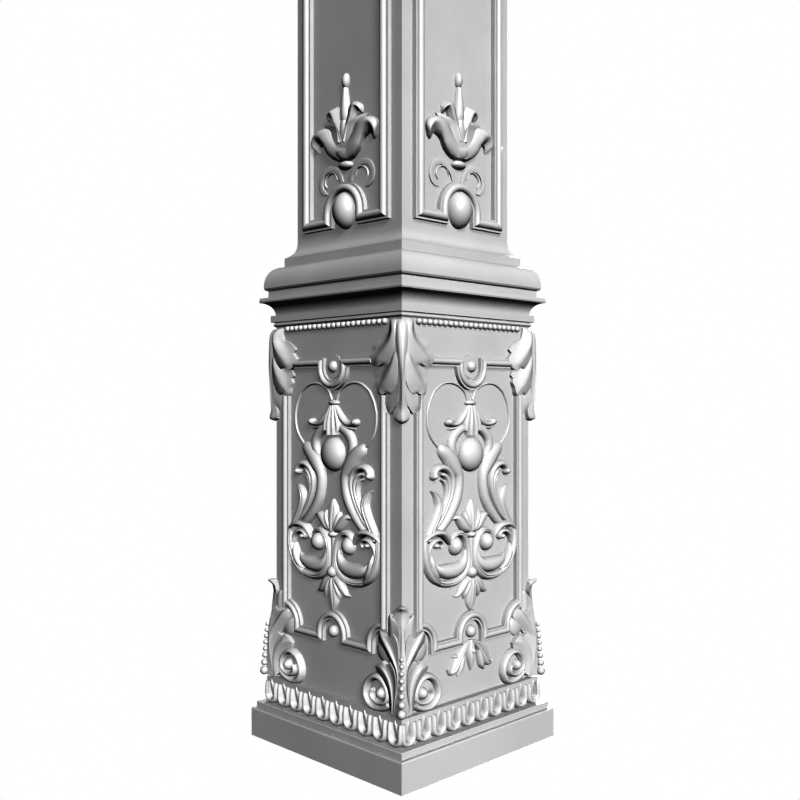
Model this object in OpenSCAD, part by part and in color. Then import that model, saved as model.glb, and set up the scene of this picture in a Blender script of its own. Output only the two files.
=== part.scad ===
// Carved box newel post for a staircase.
// A square plinth, a pedestal with framed and carved panels, a moulded waist, a
// narrower shaft with framed panels, a plain block for the handrails and a cap.
// Millimetres, +Z up, origin at the centre of the underside. The front face looks
// along -Y. Every ornament is a planted piece with a flat back on its wall.

/* [Plinth and pedestal] */
// width of the square plinth
plinth_w = 200; // [160:1:260]
// height of the plinth block
plinth_h = 26; // [16:1:50]
// height of the tongue-carved base moulding
band_h = 29.5; // [20:0.5:50]
// width of the square pedestal
pedestal_w = 166.8; // [120:0.2:220]
// height of the pedestal
pedestal_h = 326.5; // [250:0.5:450]
// height of the moulded waist
waist_h = 64.6; // [45:0.2:90]

/* [Shaft and top] */
// width of the square shaft
shaft_w = 138.8; // [100:0.2:170]
// height of the shaft above the waist
shaft_h = 453.4; // [330:0.2:700]
// height of the neck moulding
neck_h = 30; // [15:1:50]
// width of the plain block the handrails butt against
rail_block_w = 150; // [120:1:190]
// height of the plain block the handrails butt against
rail_block_h = 130; // [90:1:200]
// height of the moulding under the cap
cap_moulding_h = 60; // [30:1:90]
// height of the cap
cap_h = 80; // [40:1:120]
// width of the cap
cap_w = 200; // [160:1:260]

/* [Frame mouldings] */
// width of the flat strip of the pedestal frames
strip_w = 8.4; // [5:0.1:12]
// thickness of the flat strip of the pedestal frames
strip_h = 3.7; // [2:0.1:6]
// radius of the round bead along the pedestal frames
bead_r = 2.6; // [1.5:0.1:3.5]
// width of the flat strip of the shaft frames
shaft_strip_w = 10.8; // [7:0.1:14]
// thickness of the flat strip of the shaft frames
shaft_strip_h = 4.3; // [2.5:0.1:7]
// radius of the round bead along the shaft frames
shaft_bead_r = 3.5; // [2:0.1:4.2]

/* [Ornament] */
// tongues on each side of the base moulding
tongues = 10; // [6:1:14]
// pearls in each row under the waist
pearls = 21; // [11:2:27]
// radius of those pearls
pearl_r = 2.7; // [1.8:0.1:3.1]
// relief of the corner leaves at the corner
leaf_relief = 7; // [4:0.5:9]

/* [Hidden] */
$fn = 48;
white = [0.86, 0.86, 0.85];
// halves of the square members
hq = plinth_w / 2;
hp = pedestal_w / 2;
hs = shaft_w / 2;
hr = rail_block_w / 2;
hc = cap_w / 2;
// the stack of members, each standing on the one below
z_band = plinth_h;
z_ped = z_band + band_h;
z_waist = z_ped + pedestal_h;
z_shaft = z_waist + waist_h;
z_neck = z_shaft + shaft_h;
z_rail = z_neck + neck_h;
z_capm = z_rail + rail_block_h;
z_cap = z_capm + cap_moulding_h;
z_top = z_cap + cap_h;
// ornament keeps its place on a wider or taller pedestal, and on a wider shaft
ku = hp / 83.4;
kz = pedestal_h / 326.5;
ks = hs / 69.4;
kn = min(ku, kz);
// a turn of the post puts the front face's ornament on each face
turn = [0, 90, 180, 270];

// ---------- helpers ----------

// point on the pedestal's front wall: u across, z up as on the first design, h out of the wall
function pp(u, z, h) = [u * ku, -hp - h * kn, z_ped + (z - 55.5) * kz];
// point on the shaft's front wall, z counted from the waist's top
function sp(u, z, h) = [u * ks, -hs - h * ks, z_shaft + (z - 446.6) * ks];
function wall(p, on_shaft) = on_shaft ? sp(p[0], p[1], p[2]) : pp(p[0], p[1], p[2]);
// direction across a path at each of its points
function side(a, b) = let (d = [b[0] - a[0], b[1] - a[1]]) [-d[1], d[0]] / max(norm(d), 0.001);
function sides(p) = [for (i = [0:len(p) - 1]) side(p[max(i - 1, 0)], p[min(i + 1, len(p) - 1)])];
function lerp(a, b, t) = a + (b - a) * t;
function reverse(p) = [for (i = [len(p) - 1:-1:0]) p[i]];

// convex lump over a list of wall points
module lump(pts, on_shaft = false) {
    q = [for (p = pts) wall(p, on_shaft)];
    hull() polyhedron(points = q, faces = [[for (i = [0:len(q) - 1]) i]]);
}

// convex slab on the wall: [u, z, relief] round its outline
module slab(p, on_shaft = false) {
    lump([for (q = p, h = [0, 1]) [q[0], q[1], q[2] * h]], on_shaft);
}

// carved strand with a ridge along it, through points [u, z, width, height]
module strand(p) {
    s = sides(p);
    for (i = [0:len(p) - 2])
        lump([for (k = [i, i + 1]) each
            let (q = p[k], d = s[k] * q[2] / 2)
            [[q[0] - d[0], q[1] - d[1], 0], [q[0] + d[0], q[1] + d[1], 0], [q[0], q[1], q[3]]]]);
}

// half egg on the wall: half-width a, half-height c, standing b out of it
module egg(u, z, a, c, b, n = 10, on_shaft = false) {
    lump(concat(
        [for (r = [[1, 0], [0.78, 0.62]], i = [0:n - 1])
            [u + a * r[0] * cos(360 * i / n), z + c * r[0] * sin(360 * i / n), b * r[1]]],
        [for (i = [0:n / 2 - 1])
            [u + a * 0.35 * cos(720 * i / n), z + c * 0.35 * sin(720 * i / n), b]]), on_shaft);
}

// square moulding: the same outline [half width, height] cut along X and along Y
module square_moulding(p) {
    r = max([for (q = p) q[0]]) + 1;
    outline = concat(p, [for (q = reverse(p)) [-q[0], q[1]]]);
    intersection() {
        rotate([90, 0, 0]) linear_extrude(2 * r, center = true) polygon(outline);
        rotate([90, 0, 90]) linear_extrude(2 * r, center = true) polygon(outline);
    }
}

// straight length of round bead from p0 to p1 on the wall plane, lying at height h, its
// ends cut by mitres of slope m0 and m1
module bead_run(p0, p1, m0, m1, h, r) {
    d = p1 - p0;
    L = norm(d);
    b = r + 0.2;
    translate([p0[0], 0, p0[1]]) rotate([0, -atan2(d[1], d[0]), 0]) intersection() {
        translate([-b, -h, 0]) rotate([0, 90, 0]) cylinder(r = r, h = L + 2 * b);
        rotate([90, 0, 0]) linear_extrude(h + r + 1)
            polygon([[-m0 * b, -b], [L - m1 * b, -b], [L + m1 * b, b], [m0 * b, b]]);
    }
}

// bent length of round bead about a centre on the wall, from angle a0 over da degrees;
// its ends sit inside the slightly thicker straight lengths
bend_slack = 0.15;
module bead_bend(c, radius, a0, da, h, r) {
    translate([c[0], 0, c[1]]) rotate([90, 0, 0]) rotate([0, 0, a0])
        rotate_extrude(angle = da) translate([radius, h]) circle(r = r - bend_slack);
}

// outlines of the flat strip under a bead: a bar between two corners, and part of a ring
module bar(x0, z0, x1, z1) {
    translate([min(x0, x1), min(z0, z1)]) square([abs(x1 - x0), abs(z1 - z0)]);
}
module ring(c, radius, w, sx, sz) {
    reach = radius + w;
    translate(c) intersection() {
        difference() {
            circle(r = radius + w / 2);
            circle(r = radius - w / 2);
        }
        translate([sx < 0 ? -reach : 0, sz < 0 ? -reach : 0]) square([reach, reach]);
    }
}

// ---------- square members ----------

module plinth() {
    color(white) square_moulding([[hq, 0], [hq, plinth_h - 1.2],
        [hq - 0.4, plinth_h - 0.3], [hq - 1.2, plinth_h]]);
}

// outline of one tongue: flat top and round foot
function tongue_outline(w, h) = concat(
    [[-w / 2, h], [w / 2, h]],
    [for (a = [0:-15:-180]) [w / 2 * cos(a), w * 0.5 + w * 0.5 * sin(a)]]);

module base_moulding() {
    s = band_h / 29.5;
    core = hp + 4.6;                          // ground behind the tongues
    face = hp + 9;                            // front of the tongues
    pitch = 2 * (hp + 8) / tongues;
    foot = 5.7 * s;                           // fillet below the tongues
    high = 19.3 * s;                          // height of a tongue
    color(white) {
        square_moulding([for (q = [[hq - 3.6, 0], [hq - 3.6, foot], [core, foot], [core, foot + high],
            [hp + 6.3, foot + high], [hp + 6.3, band_h]]) [q[0], z_band + q[1]]]);
        for (t = turn) rotate([0, 0, t]) for (i = [0:tongues - 1])
            translate([(i - (tongues - 1) / 2) * pitch, -core + 1, z_band + foot]) rotate([90, 0, 0])
                linear_extrude(face - core + 1) difference() {
                    polygon(tongue_outline(pitch * 0.88, high));
                    translate([0, high * 0.24]) polygon(tongue_outline(pitch * 0.40, high * 0.9));
                }
    }
}

module pedestal() {
    color(white) translate([-hp, -hp, z_ped]) cube([2 * hp, 2 * hp, pedestal_h]);
}

// cove from [x0, z0] flaring out by a over a rise of b
function cove(x0, z0, a, b) = [for (t = [0:15:90]) [x0 + a * (1 - cos(t)), z0 + b * sin(t)]];
// quarter round from its foot at [x0 + a, z0] closing in to x0 over a rise of b
function ovolo(x0, z0, a, b) = [for (t = [0:10:90])
    [x0 + a * pow(max(cos(t), 0), 0.85), z0 + b * pow(sin(t), 0.85)]];

module waist() {
    s = waist_h / 64.6;
    z = z_waist;
    top = hs + 8.7;
    color(white) square_moulding(concat(
        [[hp + 0.8, z], [hp + 2, z + 1.2 * s], [hp + 2, z + 3.2 * s], [hp + 1, z + 4.3 * s],
            [hp + 3.9, z + 4.6 * s], [hp + 3.9, z + 10.6 * s]],
        cove(hp + 0.5, z + 10.8 * s, 10.7, 12 * s),
        [[hp + 11.6, z + 24.2 * s], [hp + 11.2, z + 27 * s], [hp + 5.4, z + 27.2 * s],
            [hp + 5.4, z + 34 * s], [hp + 7.6, z + 34.8 * s]],
        ovolo(top, z + 36.4 * s, hp + 8.5 - top, 19.8 * s),
        [[top, z + waist_h]]));
}

module shaft() {
    f = 20 * ks;                              // height of the cove at its foot
    foot_cove = 8.2;                          // spread of that cove
    color(white) square_moulding(concat(
        [for (i = [0:12]) let (t = pow(i / 12, 1.6))
            [hs + foot_cove * ks * pow(1 - t, 4.3), z_shaft + f * t]],
        [[hs, z_neck]]));
}

module neck_moulding() {
    z = z_neck;
    s = neck_h / 30;
    color(white) square_moulding(concat(
        [[hs + 3, z], [hs + 3, z + 5 * s]],
        cove(hs + 1, z + 5.2 * s, hr + 4 - hs - 1, 15 * s),
        [[hr + 5, z + 21 * s], [hr + 5, z + neck_h]]));
}

module rail_block() {
    color(white) translate([-hr, -hr, z_rail]) cube([2 * hr, 2 * hr, rail_block_h]);
}

module cap_moulding() {
    z = z_capm;
    s = cap_moulding_h / 60;
    out = hc - 8;
    color(white) square_moulding(concat(
        [[hr + 5, z], [hr + 5, z + 9 * s]],
        cove(hr + 2, z + 9.2 * s, out - hr - 6, 20 * s),
        [[out - 3, z + 30 * s], [out - 3, z + 36 * s], [out - 8, z + 36.3 * s], [out - 8, z + 42 * s],
            [out, z + 42.3 * s], [out, z + cap_moulding_h]]));
}

module cap() {
    z = z_cap;
    s = cap_h / 80;
    color(white) square_moulding(concat(
        [[hc, z], [hc, z + 16 * s]],
        [for (t = [15:15:90]) [hc - 8 * (1 - cos(t)), z + 16 * s + 8 * s * sin(t)]],
        [[hc - 14, z + 24.2 * s], [hc - 14, z + 29 * s]],
        [for (t = [0:0.125:1]) [lerp(hc - 16, 30, t), z + 29 * s + 44 * s * (0.75 * t + 0.25 * t * t)]],
        [[30, z + cap_h]]));
}

// ---------- corner leaves: outlines on the wall, shared with what butts against them ----------

// [u, z] down the edge of the hanging leaf, from the pearls to its tip on the corner
upper_edge = [[83.4, 381], [68.5, 381], [68, 372], [61.5, 361], [51.5, 358.5], [50.5, 351], [53.5, 342],
    [56, 341.5], [54.8, 326], [58.5, 318], [66.5, 318], [67.5, 305], [70.5, 302.5],
    [75, 303], [79, 296], [83.4, 295]];
module upper_footprint() {
    rotate([90, 0, 0]) linear_extrude(30) for (m = [-1, 1])
        polygon(concat([for (q = upper_edge) let (w = pp(q[0], q[1], 0)) [m * w[0], w[2]]],
            [for (z = [295, 381]) let (w = pp(95, z, 0)) [m * w[0], w[2]]]));
}

// half of a corner leaf: its convex pieces, each an outline on the wall carried to the corner
// edge = [[u, z], ...], he = height at the edge, spine = [[z, relief], ...] at the corner
module leaf_piece(edge, he, spine) {
    lump(concat([for (q = edge) [q[0], q[1], 0]], [for (q = edge) [q[0], q[1], he]],
        [for (q = spine) [83.4, q[0], 0]], [for (q = spine) [83.4 + q[1], q[0], q[1]]]));
}

module upper_leaf_half() {
    r = leaf_relief / 7;
    leaf_piece([[68.5, 381], [68, 372], [74, 360]], 2.4, [[381, 1.6 * r], [372, 5.4 * r], [360, 7 * r]]);
    leaf_piece([[68, 372], [61.5, 361], [66, 350]], 5.6, [[370, 6 * r], [350, 7 * r]]);
    leaf_piece([[61.5, 361], [51.5, 358.5], [50.5, 351], [53.5, 342]], 7.6, [[358, 7 * r], [346, 6.9 * r]]);
    leaf_piece([[56, 341.5], [54.8, 326], [58.5, 318], [66.5, 318]], 7, [[344, 6.6 * r], [330, 4.8 * r]]);
    leaf_piece([[66.5, 319], [67.5, 305], [70.5, 302.5], [75, 303]], 4.6, [[330, 4.8 * r], [312, 3.6 * r]]);
    leaf_piece([[74, 308], [75, 303], [79, 296]], 4, [[314, 3.7 * r], [295, 2.6 * r]]);
}

// round scroll at the foot of the upright leaf
foot_r = 14.6;
foot_at = [54.4, 69.9];

module lower_leaf_half() {
    // out-curled tip, three lobes, the stalk and the round foot scroll
    leaf_piece([[76, 136], [73, 146]], 4.4, [[147, 4.6], [136, 2.6]]);
    leaf_piece([[74, 138], [73, 121]], 3, [[138, 2.6], [118, 3.2]]);
    leaf_piece([[57, 121.2], [54.4, 113], [64, 105]], 6.4, [[122, 3.2], [106, 6]]);
    leaf_piece([[62, 108], [56.5, 104.5], [66, 96]], 6, [[108, 6], [96, 7]]);
    leaf_piece([[62, 97], [53.3, 95], [60, 83]], 6.4, [[100, 6.8], [80, 8]]);
    leaf_piece([[68, 88], [62, 57]], 6, [[90, 7.4], [70, 8.6], [56, 7.6]]);
    lump([for (h = [0, 6.6], a = [22.5:45:360])
        [foot_at[0] + foot_r * cos(a), foot_at[1] + foot_r * sin(a), h]]);
    egg(foot_at[0], foot_at[1], foot_r / 2, foot_r / 2, 8.6, 4);
}

// rib down the arris that ties the two halves of a corner leaf together
module spine(p) {
    for (i = [0:len(p) - 2]) hull() polyhedron(
        points = [for (q = [p[i], p[i + 1]]) each
            let (w = pp(0, q[0], 0)[2], d = q[1] * kn)
            [[hp, -hp, w], [hp, -hp - d, w], [hp + d, -hp - d, w], [hp + d, -hp, w]]],
        faces = [[0, 1, 2, 3], [4, 5, 6, 7]]);
}

// the two halves mirror each other about the post's corner
module both_halves() {
    children();
    mirror([1, 1, 0]) children();
}

module upper_leaf() {
    color(white) {
        both_halves() upper_leaf_half();
        spine([for (q = [[381, 1.6], [372, 5.4], [360, 7], [346, 6.9], [330, 4.8], [312, 3.6], [295, 2.6]])
            [q[0], q[1] * leaf_relief / 7]]);
    }
}

module lower_leaf() {
    color(white) {
        both_halves() lower_leaf_half();
        spine([[147, 4.6], [137, 2.6], [120, 3.2], [106, 6], [90, 7.4], [70, 8.6], [56, 7.6]]);
    }
}

// ---------- pedestal ornament, drawn on the front face ----------

// half ball on a short neck, standing out of the wall
module pearl(r, neck) {
    rotate([90, 0, 0]) {
        cylinder(r = r, h = neck);
        translate([0, 0, neck]) rotate_extrude() intersection() {
            circle(r = r);
            square(2 * r);
        }
    }
}

module pearl_string() {
    pitch = 2 * 63.5 * ku / (pearls - 1);
    strip = [134.8 * ku, 0.9, 1.6 * pearl_r];
    z = z_waist - pearl_r;
    color(white) {
        translate([-strip[0] / 2, -hp - strip[1], z - strip[2] / 2]) cube(strip);
        for (i = [0:pearls - 1]) translate([(i - (pearls - 1) / 2) * pitch, -hp, z]) pearl(pearl_r, 0.6);
    }
}

// place of the frames on the wall
fu = 65.6 * ku;                               // middle of the upright strips
function fz(z) = z_ped + (z - 55.5) * kz;
z_bar = fz(105.3);                            // middle of the bottom bar
z_spring = z_bar + strip_w / 2 + 0.3;         // where its arches spring
arch_r = 16.3 * kn;                           // middle line of the centre arch
quarter_r = 17.6 * kn;                        // middle line of the corner quarter rounds
leg_u = fu - quarter_r;                       // middle of the corner legs
z_turn = z_spring + quarter_r;                // top of the quarter rounds
z_rail_bar = fz(346.8);                       // middle of the top bar
dip_r = 15.5 * kn;                            // middle line of its hanging bow

module frame_strip_half() {
    w = strip_w / 2;
    bar(fu - w, z_turn - w - 0.4, fu + w, fz(342));
    ring([fu, z_spring], quarter_r, strip_w, -1, 1);
    bar(leg_u - w, z_bar - w, leg_u + w, z_spring);
    bar(arch_r - w, z_bar - w, leg_u + w, z_bar + w);
    bar(arch_r - w, z_bar - w, arch_r + w, z_spring);
    ring([0, z_spring], arch_r, strip_w, 1, 1);
}

module frame_bead_half() {
    h = strip_h;
    r = bead_r;
    bead_run([fu, fz(342)], [fu, z_turn - r], 0, 0, h, r);
    bead_bend([fu, z_spring], quarter_r, 90, 90, h, r);
    bead_run([leg_u, z_spring], [leg_u, z_bar], 0, 1, h, r);
    bead_run([leg_u, z_bar], [arch_r, z_bar], -1, 1, h, r);
    bead_run([arch_r, z_bar], [arch_r, z_spring], -1, 0, h, r);
}

module pedestal_frame() {
    color(white) translate([0, -hp, 0]) difference() {
        union() {
            rotate([90, 0, 0]) linear_extrude(strip_h) {
                frame_strip_half();
                mirror([1, 0]) frame_strip_half();
            }
            frame_bead_half();
            mirror([1, 0, 0]) frame_bead_half();
            bead_bend([0, z_spring], arch_r, 0, 180, strip_h, bead_r);
        }
        translate([0, 5, 0]) upper_footprint();
    }
}

module top_rail() {
    w = strip_w / 2;
    z0 = z_rail_bar - w - 0.3;
    color(white) translate([0, -hp, 0]) difference() {
        union() {
            rotate([90, 0, 0]) linear_extrude(strip_h) for (m = [0, 1]) mirror([m, 0]) {
                bar(dip_r - w, z_rail_bar - w, fu, z_rail_bar + w);
                bar(dip_r - w, z0, dip_r + w, z_rail_bar + w);
                ring([0, z0], dip_r, strip_w, 1, -1);
            }
            for (m = [0, 1]) mirror([m, 0, 0]) {
                bead_run([fu, z_rail_bar], [dip_r, z_rail_bar], 0, -1, strip_h, bead_r);
                bead_run([dip_r, z_rail_bar], [dip_r, z0], 1, 0, strip_h, bead_r);
            }
            bead_bend([0, z0], dip_r, 180, 180, strip_h, bead_r);
        }
        translate([0, 5, 0]) upper_footprint();
    }
}

// low round boss inside the bow with a pearl on it
module roundel() {
    r = 10.6 * kn;
    color(white) translate([0, -hp, z_rail_bar - strip_w / 2 + 0.7 * kn]) rotate([90, 0, 0]) {
        cylinder(r = r - 0.5, h = 1.8 * kn);
        cylinder(r = r, h = 1.2 * kn);
        intersection() {
            translate([0, 0, 1.1 * kn]) sphere(r = 5.3 * kn);
            cylinder(r = 8 * kn, h = 9 * kn);
        }
    }
}

module arch_pearl() {
    color(white) translate([0, -hp, fz(111.8)]) rotate([90, 0, 0]) intersection() {
        translate([0, 0, 1.0 * kn]) sphere(r = 5.4 * kn);
        cylinder(r = 8 * kn, h = 9 * kn);
    }
}

// control points [u, z, width, height] of the strands right of the middle line
heart = [[2.6, 313, 2.4, 1.6], [13, 326.4, 2, 1.4], [30, 329.4, 1.8, 1.4], [47.6, 319.6, 1.8, 1.4],
    [53.8, 296, 2, 1.5], [38.5, 271.5, 2, 1.5]];
side_arc = [[6, 290, 5, 4], [20.5, 286.5, 8.4, 4.8], [23.5, 269, 9.5, 4]];
stem = [[36, 271.5, 8, 5], [19.5, 254.5, 13.6, 6.4], [17, 232, 11, 5.4], [50, 199, 12, 5]];
hook = [[47, 247, 8, 6.5], [46.6, 257, 6, 5.5], [36, 257.4, 7, 5.6], [26.2, 242, 9, 5.8],
    [48, 205.5, 9, 4.8]];
horn = [[49.5, 236.5, 1.5, 2], [41.6, 225, 9.5, 5], [57, 195, 9, 5]];
scroll = [[57.5, 200, 8, 5], [58.6, 178, 8, 5.6], [45, 160.6, 8.4, 5.8], [22, 157.2, 7, 5.2],
    [5, 169, 7.4, 5], [4.8, 192, 7.4, 5.4], [18, 200.6, 5.6, 5], [26.5, 194, 3, 4.4]];
crescent = [[60, 193, 4, 5], [45, 200.4, 9, 7], [28, 190.4, 1.5, 4]];
cup = [[45, 175.5, 3, 4], [26, 167, 12, 7], [5, 180, 5, 4.4]];

module panel_half() {
    strand(heart);
    strand(side_arc);
    strand(stem);
    strand(hook);
    strand(horn);
    strand(scroll);
    strand(crescent);
    strand(cup);
    egg(20.5, 188.4, 7.2, 8.1, 8.2, 6);
    // side pleats of the bell, curling out to their tips
    slab([[5, 308.5, 4], [10, 302, 3.8], [29, 298, 5], [33, 294.6, 5], [22, 289, 3.5], [8, 287, 5.6]]);
    // side petals of the two lilies
    slab([[22, 213.5, 1.4], [8, 216.4, 4], [4, 202, 5.5], [14, 204.5, 4]]);
    slab([[21.6, 144.8, 1.6], [11, 141.8, 3], [5, 157, 5], [11.6, 154.5, 4]]);
}

module panel_carving() {
    color(white) {
        panel_half();
        mirror([1, 0, 0]) panel_half();
        egg(0, 311.6, 6.7, 2.8, 4, 6);
        egg(0, 266.7, 14.7, 15.3, 10.4, 8);
        egg(0, 196.8, 4.8, 3.6, 5, 4);
        egg(0, 163.8, 5.6, 5.6, 6.4, 6);
        // middle pleats of the bell, the stalk below it and the lilies' middle petals
        lump([for (m = [-1, 1]) each [[m * 5, 309.5, 0], [m * 4, 309, 4.6], [m * 9, 289, 0],
            [m * 6, 300, 6.6], [m * 5.6, 284.5, 6.6], [m * 6.4, 279, 0]]]);
        lump([for (m = [-3, 3], z = [155, 205], h = [0, 4]) [m, z, h]]);
        lump([[0, 227.4, 0], [0, 227, 1.6], for (m = [-1, 1]) each [[m * 8, 219, 0], [m * 7, 201, 0],
            [m * 4, 218, 4.6], [m * 5, 203, 5.6]]]);
        lump([[0, 129.6, 0], [0, 130.4, 2], for (m = [-1, 1]) each [[m * 7, 141, 0], [m * 7, 158.6, 0],
            [m * 4.4, 143, 4.4], [m * 4.6, 156, 5.4]]]);
    }
}

// small pair of drooping leaves under the arch of the two side faces
module pendant() {
    color(white) {
        lump([[0, 104, 0], [0, 77.5, 0], [0, 79, 3], for (m = [-1, 1]) each [[m * 5, 101.5, 0],
            [m * 3, 100, 4.4], [m * 5, 90, 0], [m * 3, 92, 5]]]);
        for (m = [0, 1]) mirror([m, 0, 0]) {
            slab([[1, 103.4, 3.6], [8, 100, 3.8], [13, 93, 4.6], [11, 80, 5], [2, 86, 4.6]]);
            slab([[10, 91, 4.4], [18, 88.5, 4.4], [28, 90, 2.4], [30.2, 85.5, 2.4], [28, 80, 3],
                [21, 75.6, 3.6], [13, 75.4, 3.6], [6, 79, 4]]);
            slab([[17, 90, 3], [19.5, 94, 1.6], [22.6, 93, 1.6], [24, 88, 3]]);
        }
    }
}

// ---------- shaft ornament, drawn on the front face ----------

arch_z = z_shaft + 26.5 * ks;                              // middle of the bottom bar
arch_spring = arch_z + shaft_strip_w * ks / 2 + 1.5 * ks;  // where its arch springs
shaft_arch_r = 21.5 * ks;                                  // middle line of the arch

module shaft_frame() {
    w = shaft_strip_w * ks / 2;
    h = shaft_strip_h * ks;
    r = shaft_bead_r * ks;
    u = 51.4 * ks;
    z1 = z_neck - 26 * ks;
    a = shaft_arch_r;
    color(white) translate([0, -hs, 0]) {
        rotate([90, 0, 0]) linear_extrude(h) {
            for (m = [0, 1]) mirror([m, 0]) {
                bar(u - w, arch_z - w, u + w, z1 + w);
                bar(a - w, arch_z - w, u + w, arch_z + w);
                bar(a - w, arch_z - w, a + w, arch_spring);
                ring([0, arch_spring], a, 2 * w, 1, 1);
            }
            bar(-u - w, z1 - w, u + w, z1 + w);
        }
        for (m = [0, 1]) mirror([m, 0, 0]) {
            bead_run([a, arch_spring], [a, arch_z], 0, -1, h, r);
            bead_run([a, arch_z], [u, arch_z], 1, -1, h, r);
            bead_run([u, arch_z], [u, z1], 1, -1, h, r);
        }
        bead_run([u, z1], [-u, z1], 1, -1, h, r);
        bead_bend([0, arch_spring], a, 0, 180, h, r);
    }
}

module shaft_ball() {
    color(white) egg(0, 482, 12, 16.4, 13.2, 12, true);
}

// flat comma scroll: outline between two curves on the wall, and its thickness
comma_out = [[4, 507.6], [8, 518], [20, 524.6], [33, 520], [37.3, 508], [25.5, 498.6]];
comma_in = [[25, 504.4], [29.8, 510], [23, 518.6], [12, 515.4], [9, 507.2]];

comma_h = 1.4;

module petal(p) {
    slab(p, true);
}

module flower_half() {
    // calyx and the big side petal curling out and down
    petal([[0, 526.6, 9], [7, 528, 8], [17, 538.4, 8], [24, 547, 8], [26, 560, 8], [0, 551, 12]]);
    petal([[22, 549, 8], [34, 547, 7], [37, 560.4, 6], [24, 561.5, 8]]);
    petal([[31, 552, 5], [34.6, 542.4, 4.8], [43, 551, 5], [37, 560.4, 6]]);
    // upright petal behind it, curling out at the top
    petal([[0, 550, 8], [15, 560, 5], [11, 578, 6], [0, 574, 7]]);
    petal([[11, 568, 6], [21.6, 568, 4], [22, 574.6, 4], [17, 578.4, 6]]);
    // flat comma scroll from the arch up to the collar
    translate([0, -hs, 0]) rotate([90, 0, 0]) linear_extrude(comma_h * ks)
        polygon([for (q = concat(comma_out, comma_in)) [q[0] * ks, sp(0, q[1], 0)[2]]]);
    petal([[5, 519, comma_h], [12.5, 519, comma_h], [12, 522.5, comma_h], [5, 523, comma_h]]);
}

module shaft_flower() {
    color(white) {
        flower_half();
        mirror([1, 0, 0]) flower_half();
        egg(0, 522, 8, 4.4, 6, 6, true);
        petal([[-3, 520, 5], [3, 520, 5], [-3, 530, 5], [3, 530, 5]]);
        petal([[-5, 574, 7], [5, 574, 7], [-2.2, 591, 3.6], [2.2, 591, 3.6]]);
        egg(0, 597, 4.2, 7.2, 5.6, 6, true);
    }
}

plinth();
base_moulding();
pedestal();
waist();  // waist_moulding
shaft();
neck_moulding();
rail_block();
cap_moulding();
cap();
pedestal_frame();  // pedestal_frame_front
rotate([0, 0, 90]) pedestal_frame();  // pedestal_frame_right
rotate([0, 0, 180]) pedestal_frame();  // pedestal_frame_back
rotate([0, 0, 270]) pedestal_frame();  // pedestal_frame_left
top_rail();  // top_rail_front
rotate([0, 0, 90]) top_rail();  // top_rail_right
rotate([0, 0, 180]) top_rail();  // top_rail_back
rotate([0, 0, 270]) top_rail();  // top_rail_left
pearl_string();  // pearl_string_front
rotate([0, 0, 90]) pearl_string();  // pearl_string_right
rotate([0, 0, 180]) pearl_string();  // pearl_string_back
rotate([0, 0, 270]) pearl_string();  // pearl_string_left
upper_leaf();  // upper_leaf_front_right
rotate([0, 0, 90]) upper_leaf();  // upper_leaf_back_right
rotate([0, 0, 180]) upper_leaf();  // upper_leaf_back_left
rotate([0, 0, 270]) upper_leaf();  // upper_leaf_front_left
lower_leaf();  // lower_leaf_front_right
rotate([0, 0, 90]) lower_leaf();  // lower_leaf_back_right
rotate([0, 0, 180]) lower_leaf();  // lower_leaf_back_left
rotate([0, 0, 270]) lower_leaf();  // lower_leaf_front_left
panel_carving();  // panel_carving_front
rotate([0, 0, 90]) panel_carving();  // panel_carving_right
rotate([0, 0, 180]) panel_carving();  // panel_carving_back
rotate([0, 0, 270]) panel_carving();  // panel_carving_left
roundel();  // roundel_front
rotate([0, 0, 90]) roundel();  // roundel_right
rotate([0, 0, 180]) roundel();  // roundel_back
rotate([0, 0, 270]) roundel();  // roundel_left
arch_pearl();  // arch_pearl_front
rotate([0, 0, 90]) arch_pearl();  // arch_pearl_right
rotate([0, 0, 180]) arch_pearl();  // arch_pearl_back
rotate([0, 0, 270]) arch_pearl();  // arch_pearl_left
rotate([0, 0, 90]) pendant();  // pendant_right
rotate([0, 0, 270]) pendant();  // pendant_left
shaft_frame();  // shaft_frame_front
rotate([0, 0, 90]) shaft_frame();  // shaft_frame_right
rotate([0, 0, 180]) shaft_frame();  // shaft_frame_back
rotate([0, 0, 270]) shaft_frame();  // shaft_frame_left
shaft_ball();  // shaft_ball_front
rotate([0, 0, 90]) shaft_ball();  // shaft_ball_right
rotate([0, 0, 180]) shaft_ball();  // shaft_ball_back
rotate([0, 0, 270]) shaft_ball();  // shaft_ball_left
shaft_flower();  // shaft_flower_front
rotate([0, 0, 90]) shaft_flower();  // shaft_flower_right
rotate([0, 0, 180]) shaft_flower();  // shaft_flower_back
rotate([0, 0, 270]) shaft_flower();  // shaft_flower_left
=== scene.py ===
# %% [markdown]
# # A carved newel post
# The post is square joinery: blocks and mouldings stacked on each other, with thin carvings planted on
# their faces. The squares, frames and plain blocks are carried over as solids, with paint added. The
# carvings are made here as surfaces, because a chisel leaves rounded ribs and hollows that flat facets
# can't show.

import bpy
import numpy as np
from mathutils import Matrix, Vector


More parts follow.
